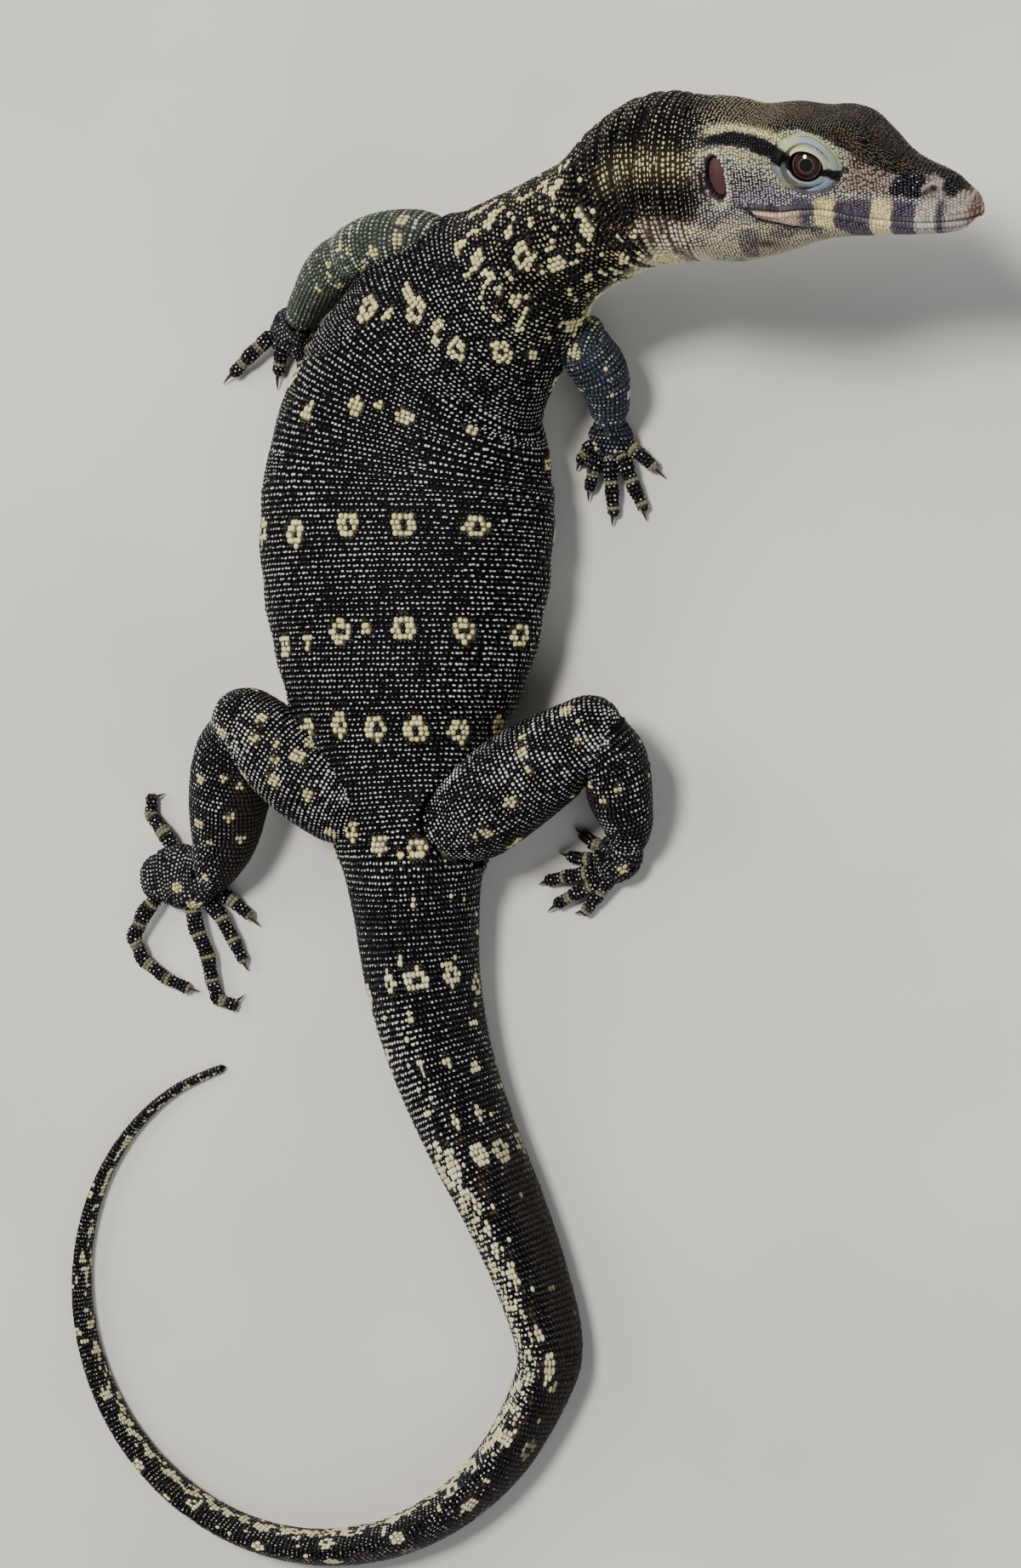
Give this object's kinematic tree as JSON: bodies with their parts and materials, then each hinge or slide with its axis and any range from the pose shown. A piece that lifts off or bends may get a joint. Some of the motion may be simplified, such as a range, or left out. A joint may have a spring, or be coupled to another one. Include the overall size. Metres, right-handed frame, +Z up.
{
  "type": "water monitor lizard model",
  "caption": "Still life-size young water monitor lizard lying flat, head raised and rolled to one side, neck and tail bent, legs spread and feet clawed.",
  "frame": {"origin": "on the floor under the middle of the trunk, on the belly's flat", "axes": "+Y along the trunk towards the shoulders, +X to the animal's right, +Z up from the floor"},
  "size_m": [0.2102, 0.2903, 0.0616],
  "materials": {
    "head_skin": "fine scales, satin",
    "neck_skin": "scales, satin",
    "trunk_skin": "scales, satin",
    "tail_skin": "scales, satin",
    "limb_skin": "scales, satin",
    "eye": "wet gloss"
  },
  "bodies": {
    "root": {"head": "head_skin", "eye_right": "eye", "eye_left": "eye", "neck_front": "neck_skin", "neck_rear": "neck_skin", "shoulders": "trunk_skin", "trunk": "trunk_skin", "hips": "trunk_skin", "tail_base": "tail_skin", "tail_middle": "tail_skin", "tail_curl": "tail_skin", "tail_tip": "tail_skin", "fore_left_upper_arm": "limb_skin", "fore_left_forearm": "limb_skin", "fore_left_foot": "limb_skin", "fore_right_upper_arm": "limb_skin", "fore_right_forearm": "limb_skin", "fore_right_foot": "limb_skin", "hind_left_thigh": "limb_skin", "hind_left_shank": "limb_skin", "hind_left_foot": "limb_skin", "hind_right_thigh": "limb_skin", "hind_right_shank": "limb_skin", "hind_right_foot": "limb_skin"}
  },
  "joints": []
}
